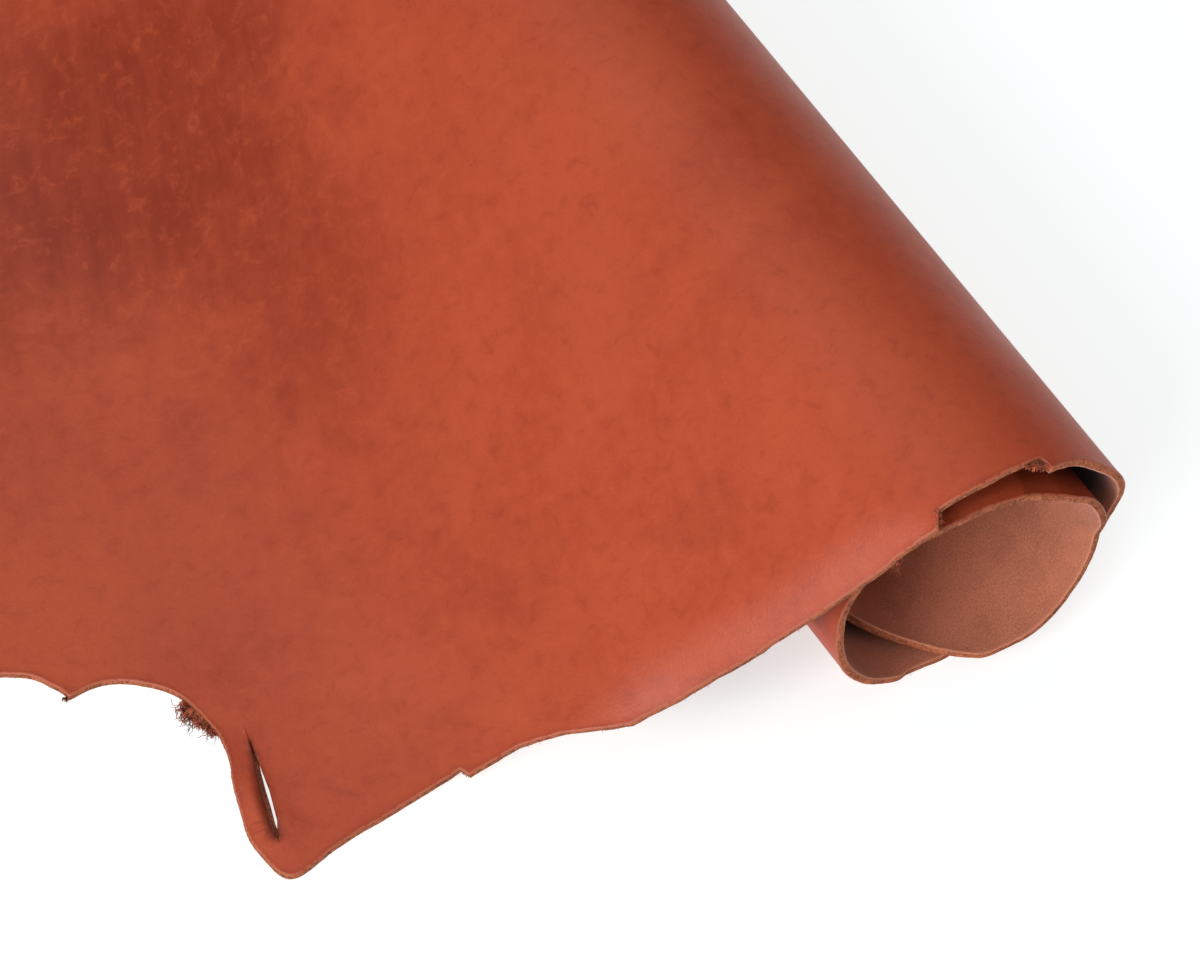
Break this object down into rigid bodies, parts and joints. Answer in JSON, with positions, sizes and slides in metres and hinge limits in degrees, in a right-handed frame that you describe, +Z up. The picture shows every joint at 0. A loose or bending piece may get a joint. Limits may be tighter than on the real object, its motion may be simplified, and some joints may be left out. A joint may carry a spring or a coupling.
{
  "type": "rolled leather side",
  "caption": "Side of smooth tan leather lying grain side up, one end wound into a loose roll, with a cut belly edge and a slit near its point.",
  "frame": {"origin": "centre of the laid side's box, on the surface that it lies on", "axes": "+X along the backbone towards the rolled butt end, +Y across the side towards the backbone, +Z up"},
  "size_m": [1.3456, 0.9552, 0.12],
  "materials": {
    "leather": "smooth waxed grain side with a soft sheen, napped flesh side, raw cut edges"
  },
  "bodies": {
    "root": {"leather_side": "leather"}
  },
  "joints": []
}
